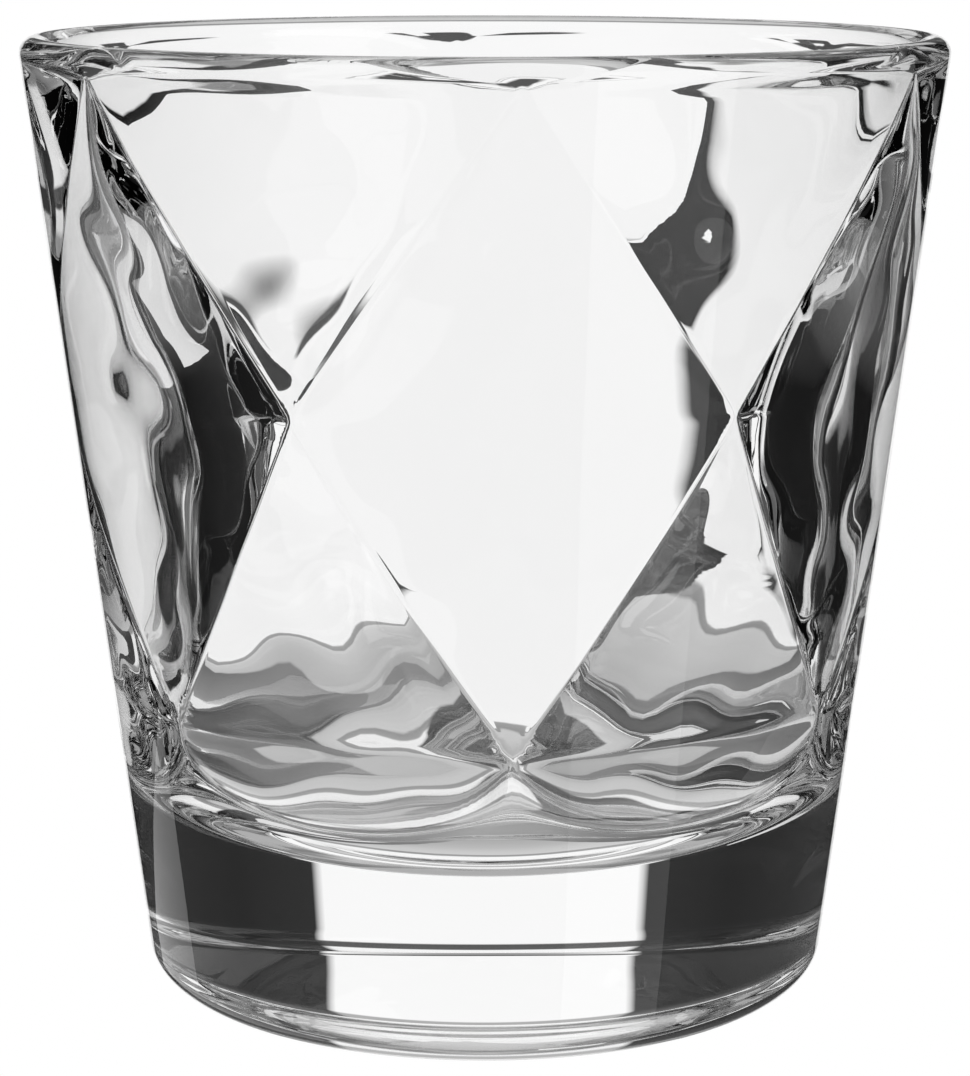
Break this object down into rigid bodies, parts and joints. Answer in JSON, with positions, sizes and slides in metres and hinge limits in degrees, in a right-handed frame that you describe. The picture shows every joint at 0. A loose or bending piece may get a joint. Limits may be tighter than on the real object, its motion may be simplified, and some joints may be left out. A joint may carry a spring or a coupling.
{
  "type": "whiskey tumbler",
  "caption": "Low, wide clear-glass tumbler with a conical outside, a thick solid base, a rounded lip and diamond faces pressed into the inside wall",
  "frame": {"origin": "centre of the standing ring, on the surface that the glass stands on", "axes": "+Z is the glass's axis, from the base up to the rim; -Y is the front, and one diamond face is turned 4.2 degrees from it towards +X"},
  "size_m": [0.0916, 0.0916, 0.096],
  "materials": {
    "clear_glass": "fire-polished clear soda-lime glass"
  },
  "bodies": {
    "root": {"glass_tumbler": "clear_glass"}
  },
  "joints": []
}
